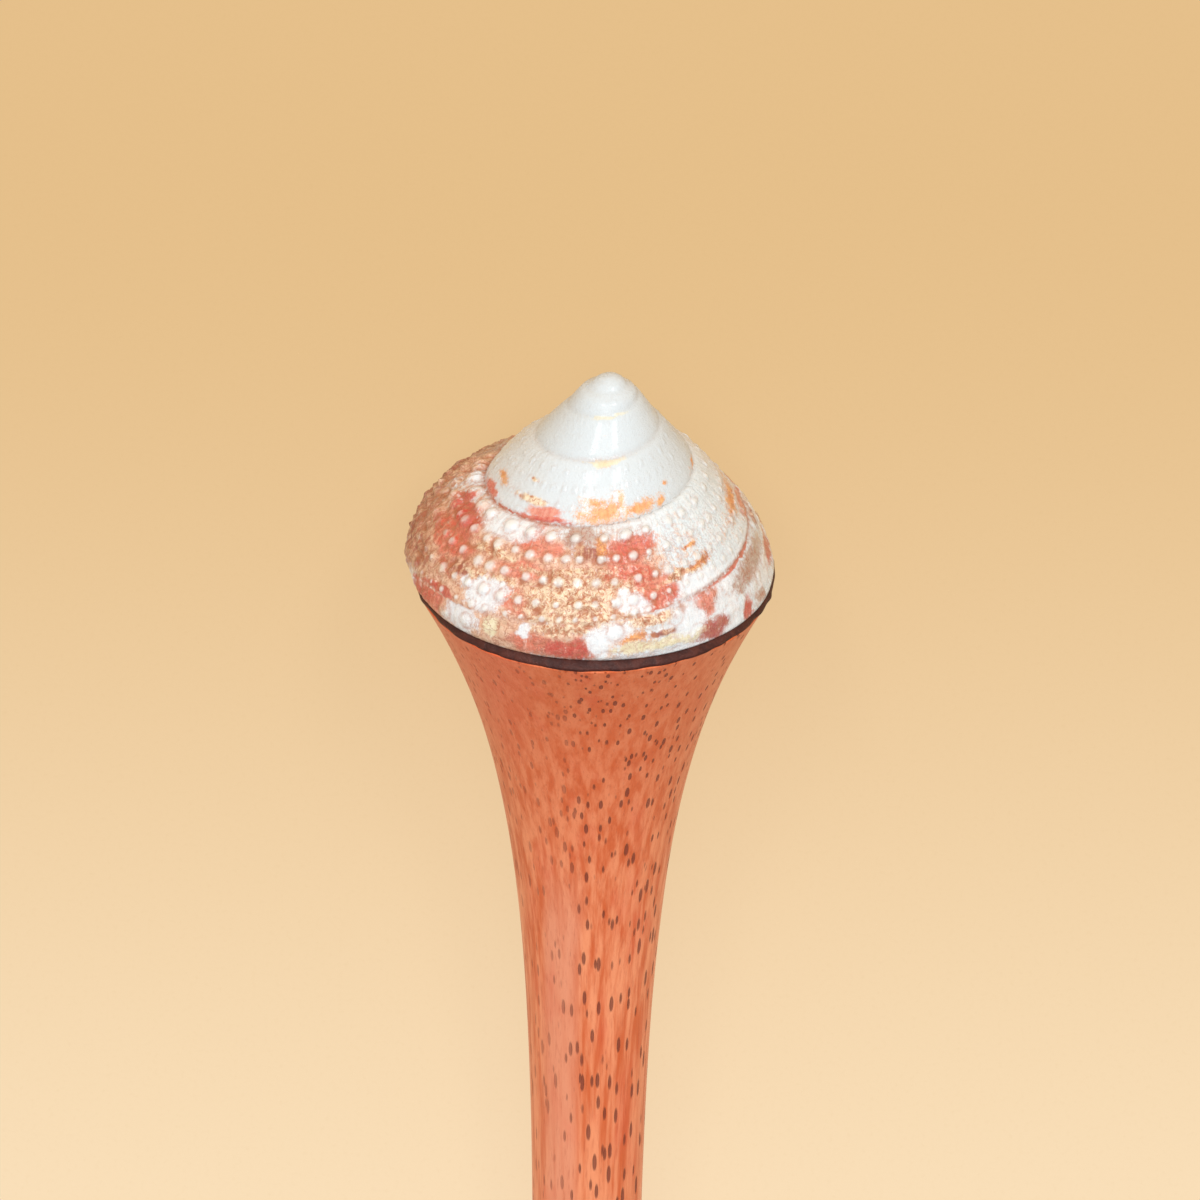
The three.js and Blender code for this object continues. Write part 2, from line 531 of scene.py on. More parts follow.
MIDDLE_PATCHES = (
    # the milky patch on the right is partly painted pearly sheen
    *patches_of(Stain.MILK, (-0.17, 0.4, 0.1, 0.65)),
    *patches_of(Stain.BLUSH, (0.13, 0.6, 0.19, 0.5), (-0.02, 0.7, 0.06, 0.45), (0.36, 0.2, 0.08, 0.3)),
    *patches_of(
        Stain.BROWN,
        (0.33, 0.7, 0.1, 0.42), (0.16, 0.7, 0.014, 0.08), (0.245, 0.82, 0.05, 0.16),
        (0.012, 0.31, 0.02, 0.08),
    ),
    *patches_of(Stain.GREY, (0.37, 0.2, 0.03, 0.2), (0.022, 0.12, 0.03, 0.1)),
    *patches_of(
        Stain.CRIMSON,
        (0.243, 0.94, 0.02, 0.05), (0.205, 0.27, 0.036, 0.12), (0.236, 0.17, 0.014, 0.06),
        (0.17, 0.97, 0.02, 0.05),
    ),
    *patches_of(
        Stain.ROSE,
        (0.2, 0.5, 0.045, 0.16), (0.168, 0.72, 0.016, 0.07), (-0.037, 0.32, 0.035, 0.12),
        (-0.025, 0.58, 0.035, 0.14), (-0.062, 0.88, 0.026, 0.12),
    ),
    *patches_of(
        Stain.CHALK,
        (0.128, 0.12, 0.036, 0.13), (0.114, 0.82, 0.02, 0.13), (0.144, 0.76, 0.01, 0.05),
        (-0.036, 0.87, 0.014, 0.1), (-0.115, 0.89, 0.03, 0.08),
    ),
    *patches_of(
        Stain.CRUST,
        (0.135, 0.42, 0.03, 0.05), (0.12, 0.66, 0.035, 0.05), (0.035, 0.5, 0.055, 0.05),
        (0.02, 0.75, 0.058, 0.22), (0.01, 0.97, 0.055, 0.09), (-0.105, 0.75, 0.03, 0.05),
    ),
    *patches_of(
        Stain.PINK,
        (0.093, 0.08, 0.01, 0.1), (0.078, 0.26, 0.028, 0.1), (0.085, 0.52, 0.028, 0.12),
        (0.085, 0.82, 0.022, 0.12), (-0.05, 0.72, 0.04, 0.1), (-0.27, 0.9, 0.025, 0.1),
    ),
    *patches_of(
        Stain.AMBER,
        (-0.004, 0.24, 0.006, 0.13), (-0.116, 0.52, 0.01, 0.025), (-0.128, 0.72, 0.014, 0.035),
        (-0.25, 0.66, 0.034, 0.1),
    ),
)
LOWER_PATCHES = (
    # the milky patch on the right is partly painted pearly sheen
    *patches_of(Stain.MILK, (0.79, 0.5, 0.07, 0.6)),
    *patches_of(Stain.BLUSH, (1.12, 0.5, 0.14, 0.7)),
    *patches_of(
        Stain.CRIMSON,
        (0.735, 0.68, 0.026, 0.16), (0.826, 0.82, 0.007, 0.18), (1.02, 0.7, 0.019, 0.3),
        (1.2, 0.4, 0.016, 0.5),
    ),
    *patches_of(Stain.GREY, (0.805, 0.34, 0.048, 0.22), (0.803, 0.86, 0.009, 0.12)),
    *patches_of(Stain.ROSE, (0.83, 0.03, 0.06, 0.035), (1.175, 0.5, 0.012, 0.9)),
    *patches_of(
        Stain.CHALK,
        (0.79, 0.62, 0.03, 0.14), (0.856, 0.5, 0.012, 0.4), (0.906, 0.42, 0.012, 0.24),
        (0.99, 0.3, 0.018, 0.2), (0.994, 0.6, 0.007, 0.3), (1.062, 0.2, 0.007, 0.2),
        (1.138, 0.4, 0.015, 0.6), (1.222, 0.5, 0.01, 0.9),
    ),
    *patches_of(Stain.PINK, (0.885, 0.28, 0.02, 0.24), (1.055, 0.6, 0.02, 0.4)),
    *patches_of(Stain.PLUM, (0.88, 0.8, 0.019, 0.2)),
    *patches_of(Stain.CRUST, (0.955, 0.14, 0.035, 0.12), (1.02, 0.12, 0.04, 0.16)),
    *patches_of(Stain.BROWN, (0.93, 0.5, 0.014, 0.07), (1.27, 0.5, 0.03, 0.9)),
    *patches_of(
        Stain.YELLOW,
        (0.92, 0.72, 0.026, 0.12), (0.962, 0.72, 0.018, 0.12), (1.1, 0.3, 0.016, 0.3),
    ),
    *patches_of(Stain.AMBER, (0.966, 0.48, 0.018, 0.12)),
)
SEAM_TINTS = (
    (-2.0, 0.0), (-1.1, 0.1), (-1.0, 0.45), (-0.9, 0.1), (-0.08, 0.04), (0.02, 0.5), (0.08, 1.0),
    (0.6, 0.8), (0.87, 1.0), (0.95, 0.3), (1.34, 0.3),
)
BEAD_ROWS = (
    BeadRow(0.145, -0.2, 0.034, 0.46, 0.30, 11),
    BeadRow(0.365, -0.3, 0.0215, 0.42, 0.23, 12),
    BeadRow(0.6, -0.42, 0.0205, 0.42, 0.21, 13),
    BeadRow(0.82, -0.3, 0.0195, 0.37, 0.16, 14),
    BeadRow(0.96, -0.1, 0.018, 0.26, 0.10, 15),
)


def back_patches(seed: int, count: int) -> list[Patch]:
    """Scatters patches like the front's over the shell's far side.

    Args:
        seed: the same seed gives the same patches.
        count: how many there are.

    Returns:
        The patches.
    """
    draw = np.random.default_rng(seed)
    shares = {
        Stain.PINK: 0.2, Stain.ROSE: 0.16, Stain.CRUST: 0.18, Stain.CHALK: 0.16,
        Stain.BROWN: 0.12, Stain.AMBER: 0.06, Stain.CRIMSON: 0.07, Stain.GREY: 0.05,
    }
    stains = list(shares)
    patches = []
    for _ in range(count):
        stain = stains[draw.choice(len(stains), p=list(shares.values()))]
        turn, across = draw.uniform(0.4, 0.72), draw.uniform(0.03, 1.0)
        patches.append(Patch(stain, turn, across, draw.uniform(0.01, 0.03), draw.uniform(0.05, 0.16)))
    for _ in range(count // 5):
        turn, across = draw.uniform(-0.7, -0.32), draw.uniform(0.7, 1.0)
        patches.append(Patch(Stain.AMBER, turn, across, draw.uniform(0.008, 0.025), draw.uniform(0.03, 0.1)))
    return patches


# ---------------------------------------------------------------- the pieces


@dataclass
class TurbanShell:
    """The shell: a closed, finely stepped skin with its seams, beads, wrinkles and crust in relief."""

    coil: Coil = field(default_factory=Coil)
    columns: int = 640
    rows: int = 150
    steps: int = 40  # of each whorl's outline, before the rows are spaced out
    front_crowding: float = 0.3  # the columns stand closer at the front by this part
    tilt: float = math.atan(0.30 / 12.25)  # the base slants up at the front
    lift: float = 0.33  # of the base's middle above the wood, in millimetres, like the heights below
    cord_width: float = 0.3
    cord_height: float = 0.04
    groove_width: float = 0.16
    groove_depth: float = 0.05
    line_height: float = 0.012
    wrinkle_height: float = 0.13
    crust_height: float = 0.2
    hollow_depth: float = 0.03  # depth at which a hollow's painted shade is full
    wave_height: float = 0.05
    nucleus_height: float = 0.24
    nucleus_radius: float = 1.15
    row_bend: float = 0.3  # the turn from the front where a row of beads stops slanting
    worn: Span = (-1.3, -0.2)  # the turns between which the shell is less and less worn
    beaded: Span = (-1.45, 0.0)  # and its beads grow
    smooth_below: Span = (0.70, 0.78)  # and its beads fade on the lowest whorl
    wrinkled: Span = (0.2, 0.3)  # and its wrinkles start on the left
    wrinkled_till: Span = (0.55, 0.7)
    wrinkled_again: Span = (1.12, 1.2)
    back_seed: int = 21
    back_count: int = 60

    def build(self, laid: Matrix) -> bpy.types.Object:
        """Makes the piece.

        Args:
            laid: the matrix that lays upright pieces down.

        Returns:
            The shell, with its stains and relief kept for each vertex.
        """
        self._space_out()
        plain = self._plain_places()
        relief = self._relief(plain)
        skin = plain + self._normals(plain) * relief[..., None]
        tip = skin[:, 0].mean(axis=0)
        base_middle = np.zeros(3)
        places = np.concatenate([[tip, base_middle], skin[:, 1:].reshape(-1, 3)])
        shell = mesh_object("shell", self._tilted(places) * MM, capped_faces(self.columns, self.rows), laid)
        for name, values in self._kept().items():
            flat = values[:, 1:].reshape(-1, *values.shape[2:])
            ends = np.stack([values[:, 0].mean(axis=0), values[:, -1].mean(axis=0)])
            set_attribute(shell.data, name, np.concatenate([ends, flat]))
        return shell

    def _space_out(self) -> None:
        """Works out the grid: columns round the shell, each with its rows spaced out down the outline."""
        part = np.arange(self.columns) / self.columns
        self.around = part - self.front_crowding / TURN * np.sin(TURN * part)
        whorls = np.arange(self.coil.first_turn, 2)
        starts = np.repeat(whorls, self.steps)[None, :] + self.around[:, None]
        across = np.tile(np.arange(self.steps) / self.steps, len(whorls))[None, :] + 0 * starts
        radii, depths = self.coil.outline(starts, across)
        past = starts >= self.coil.dive_end
        rim = self.coil.rim(self.around)[:, None]
        radii, depths = np.where(past, rim, radii), np.where(past, self.coil.base_depth, depths)
        labels = np.where(past, self.around[:, None] + 1, starts + across)
        last = np.where(self.around + 1 < self.coil.dive_end, self.around + 2, self.around + 1)[:, None]
        radii = np.hstack([0 * rim, radii, rim])
        depths = np.hstack([0 * rim + self.coil.tip_depth, depths, 0 * rim + self.coil.base_depth])
        labels = np.hstack([labels[:, :1], labels, last])
        crowding = 0.55 + 0.45 * smooth_step(8.5, 11.0, (depths[:, 1:] + depths[:, :-1]) / 2)
        steps = np.hypot(np.diff(radii), np.diff(depths)) * crowding
        run = np.hstack([0 * rim, np.cumsum(steps, axis=1)])
        wanted = np.linspace(0, 1, self.rows + 1)
        spaced = [
            [np.interp(wanted * run[i, -1], run[i], line[i]) for i in range(self.columns)]
            for line in (radii, depths, labels)
        ]
        self.radii, self.depths, along = (np.array(line) for line in spaced)
        whorl = np.floor(along - self.around[:, None] + 1e-9)
        lowest = np.where(self.around + 1 < self.coil.dive_end, 1, 0)[:, None]
        self.turn = self.around[:, None] + np.minimum(whorl, lowest)
        self.across = np.clip(along - self.turn, 0, 1)
        self.widths = self.coil.width(self.turn)

    def _plain_places(self) -> np.ndarray:
        """Returns the smooth skin's places, upright on its own base, in millimetres."""
        angle = -math.pi / 2 - TURN * self.around[:, None]
        height = self.coil.base_depth - self.depths
        east = self.radii * np.cos(angle) + self.coil.lean * height
        return np.stack([east, self.radii * np.sin(angle), height], axis=-1)

    def _normals(self, places: np.ndarray) -> np.ndarray:
        """Returns the outward normals of a grid of places."""
        round_it = np.roll(places, -1, axis=0) - np.roll(places, 1, axis=0)
        normals = np.cross(round_it, np.gradient(places, axis=1))
        normals[:, 0] = (0, 0, 1)
        return normals / np.maximum(np.linalg.norm(normals, axis=-1, keepdims=True), 1e-9)

    def _stirred(self, places: np.ndarray) -> tuple[np.ndarray, np.ndarray]:
        """Returns each place's turn and part across, stirred a little so that patches have uneven edges."""
        broad, fine = Cloud(3), Cloud(4)
        turn = self.turn + 0.009 * broad.at(places, 1.3) + 0.004 * fine.at(places, 0.45)
        across = self.across + 0.05 * broad.at(places + 40, 1.3) + 0.025 * fine.at(places + 40, 0.45)
        return turn, across

    def _stain(self, places: np.ndarray) -> None:
        """Works out how strongly each stain covers each vertex: one half at a patch's edge."""
        turn, across = self._stirred(places)
        self.stains = {stain: np.zeros(turn.shape) for stain in Stain}
        patches = [*UPPER_PATCHES, *MIDDLE_PATCHES, *LOWER_PATCHES]
        patches += back_patches(self.back_seed, self.back_count)
        for patch in patches:
            away = ((turn - patch.turn) / patch.half_turn) ** 2
            away += ((across - patch.across) / patch.half_across) ** 2
            if patch.stain is Stain.AMBER:
                away = away**0.6  # it fades out slowly, in specks
            self.stains[patch.stain] = np.maximum(self.stains[patch.stain], 0.5**away)

    def _bead(self, row: BeadRow) -> tuple[np.ndarray, np.ndarray]:
        """Works out one row of beads.

        Args:
            row: the row.

        Returns:
            The beads' relief in millimetres and how far each vertex is from the nearest one, in bead radii.
        """
        draw = np.random.default_rng(row.seed)
        cell = np.round(self.turn / row.spacing).astype(int)
        shifts, rises = draw.uniform(-0.16, 0.16, row.KINDS), draw.uniform(-0.1, 0.1, row.KINDS)
        sizes, heights = draw.uniform(0.78, 1.15, row.KINDS), draw.uniform(0.6, 1.1, row.KINDS)
        index = cell % row.KINDS
        growth = self.coil.radius(self.turn) / self.coil.radius(np.array(0.0))
        left = smooth_step(0.12, 0.2, self.turn) * (1 - smooth_step(0.26, 0.34, self.turn))
        pearly = smooth_step(-0.05, -0.11, self.turn)
        size = row.radius * np.clip(growth, 0.3, 1.15) * sizes[index] * (1 + 0.22 * left - 0.2 * pearly)
        along = (self.turn - (cell + shifts[index]) * row.spacing) * TURN * self.radii
        away = np.hypot(along, self._below(row) + rises[index] * size) / size
        faint = 0.5 * smooth_step(-1.5, -1.25, self.turn)
        strength = np.maximum(smooth_step(*self.beaded, self.turn), faint)
        strength = strength * (1 - 0.65 * smooth_step(0.3, 0.36, self.turn))
        strength = strength * (1 - 0.4 * smooth_step(*self.smooth_below, self.turn))
        dome = np.clip(1 - away**2, 0, 1) ** 0.75
        return dome * row.height * heights[index] * strength * (1 - 0.6 * pearly), away

    def _below(self, row: BeadRow) -> np.ndarray:
        """Returns how far below the line of a row of beads each vertex is, in millimetres."""
        place = row.across + row.slope * np.clip(self.turn, -self.row_bend, self.row_bend)
        return self.across * self.widths - place * self.coil.whole_width(self.turn)

    def _beads_and_cords(self) -> tuple[np.ndarray, np.ndarray]:
        """Works out all the beads and the cords that they sit on.

        Returns:
            The beads' relief in millimetres and the cords', from 0 to 1.
        """
        bead_height, cord = np.zeros(self.turn.shape), np.zeros(self.turn.shape)
        nearest = np.full(self.turn.shape, np.inf)
        for row in BEAD_ROWS:
            height, away = self._bead(row)
            bead_height = np.maximum(bead_height, height)
            nearest = np.minimum(nearest, away)
            cord = np.maximum(cord, np.exp(-((self._below(row) / self.cord_width) ** 2)))
        shown = smooth_step(*self.beaded, self.turn) * (1 - 0.7 * smooth_step(*self.smooth_below, self.turn))
        shown = shown * (1 - 0.55 * smooth_step(0.13, 0.24, self.turn) * smooth_step(0.7, 0.5, self.turn))
        self.bead = np.clip(1.25 - nearest, 0, 1) * shown
        self.halo = np.exp(-(((nearest - 1.2) / 0.25) ** 2)) * (1 - 0.6 * self.wear)
        return bead_height, cord

    def _grooves(self) -> None:
        """Works out the seams' grooves, which are cut in and also painted with shade, and their tint."""
        cut = self.turn + 1 > self.coil.dive_end
        to_seam = np.where(cut, self.across, np.minimum(self.across, 1 - self.across)) * self.widths
        groove = np.exp(-((to_seam / self.groove_width) ** 2))
        seam_turn = np.where(self.across < 0.5, self.turn, self.turn + 1)
        self.seam = groove * ease_through(SEAM_TINTS, seam_turn)
        self.groove = groove * (1 - 0.6 * smooth_step(0.88, 0.95, seam_turn))

    def _growth_lines(self) -> np.ndarray:
        """Works out places that stretch along the shell's growth, and returns the lines of its growth."""
        angle = TURN * (self.around[:, None] + 0.02 * self.radii / 10)
        self.growth = np.stack([np.cos(angle) * 10, np.sin(angle) * 10, 0.12 * self.radii], axis=-1)
        return 1 - 2 * np.abs(Cloud(5).at(self.growth, 0.32)) - np.abs(Cloud(8).at(self.growth, 0.8))

    def _wrinkles_and_crust(self, places: np.ndarray, lines: np.ndarray) -> np.ndarray:
        """Returns the relief of the wrinkles on the left and of the crumbly crust, in millimetres."""
        wrinkle = smooth_step(*self.wrinkled, self.turn) * (1 - smooth_step(*self.wrinkled_till, self.turn))
        wrinkle = np.maximum(wrinkle, 0.7 * smooth_step(*self.wrinkled_again, self.turn))
        crust = np.maximum(self.stains[Stain.CRUST], self.stains[Stain.BROWN])
        crust = crust * (1 - self.stains[Stain.CHALK])
        crumbs = 1 - 2 * np.abs(Cloud(6).at(places, 0.5))
        return self.wrinkle_height * wrinkle * lines + self.crust_height * crust * crumbs * (1 - self.wear)

    def _relief(self, places: np.ndarray) -> np.ndarray:
        """Returns the height of the shell's relief over the smooth skin, in millimetres."""
        self._stain(places)
        self.wear = 1 - smooth_step(*self.worn, self.turn)
        bead_height, cord = self._beads_and_cords()
        self._grooves()
        lines = self._growth_lines()
        rough = self._wrinkles_and_crust(places, lines)
        # painted shade: darker where the wrinkles and crust dip in
        self.hollow = np.clip(-rough / self.hollow_depth, 0, 1)
        relief = (
            bead_height
            + self.cord_height * cord * (1 - self.wear)
            - self.groove_depth * self.groove * smooth_step(-4.5, -2.5, self.turn)
            + self.line_height * (1 - self.wear) * lines
            + rough
            + self.wave_height * Cloud(7).at(places, 2.6)
        )
        return self._flattened(relief)

    def _flattened(self, relief: np.ndarray) -> np.ndarray:
        """Flattens the relief at the rim and where the shell rests, and adds the first, round whorl."""
        to_rim = self.coil.base_depth - self.depths
        resting = smooth_step(0.40, 0.45, self.around) * (1 - smooth_step(0.55, 0.60, self.around))
        low = resting[:, None] * smooth_step(13.5, 15.5, self.depths)
        relief = relief - low * (0.03 + np.maximum(relief, 0))
        inside = np.clip(1 - (self.radii / self.nucleus_radius) ** 2, 0, 1)
        nucleus = self.nucleus_height * inside**0.6
        return relief * smooth_step(0.0, 0.35, to_rim) * smooth_step(0.0, 0.8, self.radii) + nucleus

    def _kept(self) -> dict[str, np.ndarray]:
        """Returns what the finish reads at each vertex."""
        kept = {stain.name.lower(): values for stain, values in self.stains.items()}
        kept.update(bead=self.bead, halo=self.halo, seam=self.seam, worn=self.wear)
        pale = (Stain.MILK, Stain.CHALK, Stain.YELLOW)
        coloured = np.max([values for stain, values in self.stains.items() if stain not in pale], axis=0)
        kept.update(stained=np.clip(1.4 * coloured, 0, 1), groove=self.groove)
        kept.update(hollow=self.hollow, growth=self.growth)
        return kept

    def _tilted(self, places: np.ndarray) -> np.ndarray:
        """Sets the shell on the slanting filler."""
        slant = np.array(Matrix.Rotation(-self.tilt, 3, "X"))
        return places @ slant.T + np.array([0, 0, self.lift])


@dataclass
class SeamFiller:
    """The dark glue that fills the slanting gap between the shell and the wood."""

    coil: Coil = field(default_factory=Coil)
    columns: int = 480
    foot_radius: float = 12.2
    set_back: float = 0.12  # of its upper edge from the shell's rim
    thickness: float = 0.33
    wedge: float = 0.30  # thicker by this at the front, thinner at the back
    head_radius: float = 12.25
    coarse_edge: float = 0.1  # how ragged its lower edge is
    fine_edge: float = 0.08

    def build(self, laid: Matrix) -> bpy.types.Object:
        """Makes the piece.

        Args:
            laid: the matrix that lays upright pieces down.

        Returns:
            The filler.
        """
        around = np.arange(self.columns) / self.columns
        angle = -math.pi / 2 - TURN * around
        ring = np.stack([np.cos(angle), np.sin(angle), 0 * angle], axis=-1)
        ragged = Cloud(31).at(ring * 12, 0.9) * self.coarse_edge
        ragged += Cloud(32).at(ring * 12, 2.6) * self.fine_edge
        foot = self.foot_radius + ragged
        rim = self.coil.rim(around) - self.set_back
        profile = [(0.5 * foot, 0.0), (foot - 0.25, 0.0)]
        for part in (0.02, 0.3, 0.6, 0.9):
            profile.append((foot + (rim - foot) * part + 0.08 * math.sin(math.pi * part), part))
        profile += [(rim - 0.1, 1.0), (0.5 * rim, 1.0)]
        columns = []
        for radii, part in profile:
            places = ring * radii[:, None]
            places[:, 2] = part * (self.thickness - self.wedge * places[:, 1] / self.head_radius)
            columns.append(places)
        grid = np.stack(columns[::-1], axis=1)
        places = np.concatenate([[[0, 0, self.thickness], [0, 0, 0]], grid.reshape(-1, 3)])
        return mesh_object("filler", places * MM, capped_faces(self.columns, len(profile)), laid)


@dataclass
class WoodenStem:
    """The turned wooden stem, flared into the head that carries the shell."""

    columns: int = 200
    rows: int = 260
    head_radius: float = 12.25
    shaft_radius: float = 3.55
    flare_length: float = 14.95
    flare_power: float = 1.04
    length: float = 83.0
    end_easing: float = 0.8
    edge_easing: float = 0.1
    unevenness: float = 0.0035  # of its radius

    def build(self, laid: Matrix) -> bpy.types.Object:
        """Makes the piece.

        Args:
            laid: the matrix that lays upright pieces down.

        Returns:
            The stem.
        """
        top = [(self.head_radius * part, 0.0) for part in (0.4, 0.8)]
        eased = [self._eased_edge(math.radians(turned)) for turned in (0, 22, 45, 68, 90)]
        down = np.linspace(self.edge_easing * 1.4, self.length - self.end_easing, self.rows)
        side = [(self._radius(float(distance)), -float(distance)) for distance in down]
        end = [self._eased_end(math.radians(turned)) for turned in (25, 50, 75, 90)]
        profile = [*top, *eased, *side, *end, (0.5 * end[-1][0], -self.length)]
        angle = -math.pi / 2 - TURN * np.arange(self.columns) / self.columns
        radii, heights = (np.array(line)[None, :] + 0 * angle[:, None] for line in zip(*profile))
        grid = np.stack([radii * np.cos(angle)[:, None], radii * np.sin(angle)[:, None], heights], axis=-1)
        waves = Cloud(41).at(grid * (1, 1, 0.25), 2.4)
        grid[..., :2] *= (1 - self.unevenness * (1 + waves))[..., None]
        places = np.concatenate([[[0, 0, 0], [0, 0, -self.length]], grid.reshape(-1, 3)])
        return mesh_object("stem", places * MM, capped_faces(self.columns, len(profile)), laid)

    def _radius(self, distance: float) -> float:
        """Returns the stem's radius at a distance below the head's flat top."""
        flare = math.exp(-((distance / self.flare_length) ** self.flare_power))
        return self.shaft_radius + (self.head_radius - self.shaft_radius) * flare

    def _eased_edge(self, turned: float) -> tuple[float, float]:
        """Returns a radius and height on the head's rounded edge, from its flat top (0) to its side."""
        inner = self._radius(self.edge_easing) - self.edge_easing
        return inner + self.edge_easing * math.sin(turned), self.edge_easing * (math.cos(turned) - 1)

    def _eased_end(self, turned: float) -> tuple[float, float]:
        """Returns a radius and height on the stem's rounded end, from its side (0) to the flat end."""
        inner = self._radius(self.length) - self.end_easing
        above = self.end_easing * (1 - math.sin(turned))
        return inner + self.end_easing * math.cos(turned), above - self.length


# ---------------------------------------------------------------- the finishes


class ShellMarks:
    """The kept marks and the noises that the shell's finish is mixed from."""

    def __init__(self, shell: Surface) -> None:
        """Reads the marks and adds the noises."""
        self.shell = shell
        place, growth = shell.kept_place("upright"), shell.kept_place("growth")
        self.bead, self.halo, self.worn = shell.kept("bead"), shell.kept("halo"), shell.kept("worn")
        self.stained, self.chalk = shell.kept("stained"), shell.kept("chalk")
        self.streaks = shell.noise(growth, 2.6, 4.0, 0.65, 0.3)
        self.grains = shell.noise(place, 3.2, 4.0, 0.7)
        self.blots = shell.noise(place, 1.1, 4.0, 0.65, 0.4)
        self.broad = shell.noise(place, 0.35, 2.0)
        self.specks = shell.noise(place, 9.0, 3.0, 0.75)
        self.mottling = (self.streaks * 0.45 + self.grains * 0.55).step(0.38, 0.64)
        self.worms = shell.noise(place, 2.6, 4.0, 0.65, 1.1).step(0.38, 0.53)
        wander = shell.noise(place, 1.5, 4.0, 0.65, 0.7)
        self.veins = wander.step(0.455, 0.5) * wander.step(0.545, 0.5) * (1.0 - self.worn)


@dataclass(frozen=True)
class ShellFinish:
    """Pearly, stained shell: streaked along its growth, crusted in places, its beads rubbed clean."""

    white: Colour = (0.80, 0.825, 0.835)
    cream: Colour = (0.80, 0.81, 0.795)
    pearl: Colour = (0.635, 0.675, 0.685)
    bead: Colour = (0.84, 0.81, 0.76)
    ochre: Colour = (0.88, 0.46, 0.16)
    seam: Colour = (0.46, 0.13, 0.065)
    # brown of the streaks and of the rings round the beads; also the painted shade in the hollows
    gap: Colour = (0.46, 0.15, 0.065)
    rust: Colour = (0.56, 0.22, 0.09)
    umber: Colour = (0.36, 0.095, 0.05)
    vein: Colour = (0.42, 0.11, 0.065)
    # painted shade for the seams' grooves
    shade: Colour = (0.50, 0.46, 0.40)
    roughness: float = 0.3

    def material(self) -> bpy.types.Material:
        """Returns the finish."""
        shell = Surface("shell finish")
        marks = ShellMarks(shell)
        colour = self._marked(marks, self._stained(marks, self._ground(marks)))
        bead, worn, specks = marks.bead, marks.worn, marks.specks
        roughness = self.roughness + (specks - 0.5) * 0.35 + shell.kept("crust") * 0.12 - bead * 0.14
        normal = shell.bump(marks.grains * (1.0 - worn * 0.5) * (1.0 - marks.chalk * 0.7), 0.11 * MM)
        normal = shell.bump(marks.streaks * (1.0 - worn), 0.08 * MM, normal)
        normal = shell.bump(specks, 0.05 * MM, normal)
        return shell.finish({
            "Base Color": colour, "Roughness": roughness, "Normal": normal, "Specular IOR Level": 0.4,
            "Coat Weight": 0.3 + bead * 0.55 - worn * 0.1, "Coat Roughness": 0.1, "Coat IOR": 1.5,
        })

    def _ground(self, marks: ShellMarks) -> Term:
        """Returns the bare shell's colour: white and cream with brown streaks, pearly where worn."""
        shell, worn = marks.shell, marks.worn
        colour = shell.mixed(marks.broad.step(0.4, 0.65), self.white, self.cream)
        colour = shell.mixed(worn * 0.85, colour, self.pearl)
        return shell.mixed(marks.streaks.step(0.5, 0.75) * (0.22 - worn * 0.22), colour, self.gap)

    def _stained(self, marks: ShellMarks, colour: Term) -> Term:
        """Lays every stain over a colour, with uneven edges."""
        shell = marks.shell
        edge = (marks.grains - 0.5) * 0.9 + (marks.blots - 0.5) * 0.8
        edge = edge + (marks.streaks - 0.5) * (0.5 - marks.worn * 0.4)
        for stain in Stain:
            cover = self._cover(marks, stain, shell.kept(stain.name.lower()) + edge)
            colour = shell.mixed(cover * 0.93, colour, self._tone(marks, stain))
        return colour

    @staticmethod
    def _cover(marks: ShellMarks, stain: Stain, strength: Term) -> Term:
        """Returns how far a stain of this strength hides what is under it."""
        if stain is Stain.CHALK:
            return strength.step(0.18, 0.55)
        if stain is Stain.AMBER:
            return (strength + (marks.specks - 0.5) * 1.1).step(0.26, 0.72)
        return strength.step(0.24, 0.7)

    def _tone(self, marks: ShellMarks, stain: Stain) -> Term:
        """Returns a stain's own mottled colour."""
        shell, colour = marks.shell, stain.value
        if stain is Stain.CRUST:
            return shell.mixed(marks.worms, self.rust, creamier(colour, 0.3))
        if stain is Stain.BROWN:
            umber_gaps = (marks.streaks * 0.7 + marks.grains * 0.3).step(0.44, 0.6)
            return shell.mixed(umber_gaps, self.umber, colour)
        if stain is Stain.AMBER:
            tone = shell.mixed(marks.mottling, colour, self.ochre)
            return shell.mixed(marks.specks.step(0.5, 0.64) * 0.6, tone, self.rust)
        return shell.mixed(marks.mottling, richer(colour), creamier(colour, 0.12))

    def _marked(self, marks: ShellMarks, colour: Term) -> Term:
        """Adds the veins, painted shade in the hollows, the beads and their rings, painted shade in the
        seams' grooves, the seams' tint and the rubbed places.
        """
        shell, stained, chalk, grains = marks.shell, marks.stained, marks.chalk, marks.grains
        colour = shell.mixed(marks.veins * stained * (0.7 - chalk * 0.65), colour, self.vein)
        # painted shade in the hollows of the wrinkles and crust
        hollow = shell.kept("hollow") * marks.blots.step(0.3, 0.5) * (0.8 - chalk * 0.7)
        colour = shell.mixed(hollow, colour, self.gap)
        colour = shell.mixed(marks.halo * grains.step(0.35, 0.6) * (0.2 + stained * 0.35), colour, self.gap)
        colour = shell.mixed((marks.bead + (grains - 0.5) * 0.4).step(0.3, 0.9) * 0.74, colour, self.bead)
        # painted shade in the seams' grooves
        colour = shell.mixed(shell.kept("groove") * 0.22, colour, self.shade)
        colour = shell.mixed(shell.kept("seam") * grains.step(0.3, 0.6) * 0.9, colour, self.seam)
        rubbed = (marks.worn * 0.6 + marks.specks - 0.5).step(0.2, 0.8) * (0.4 - stained * 0.4)
        return shell.mixed(rubbed, colour, self.pearl)


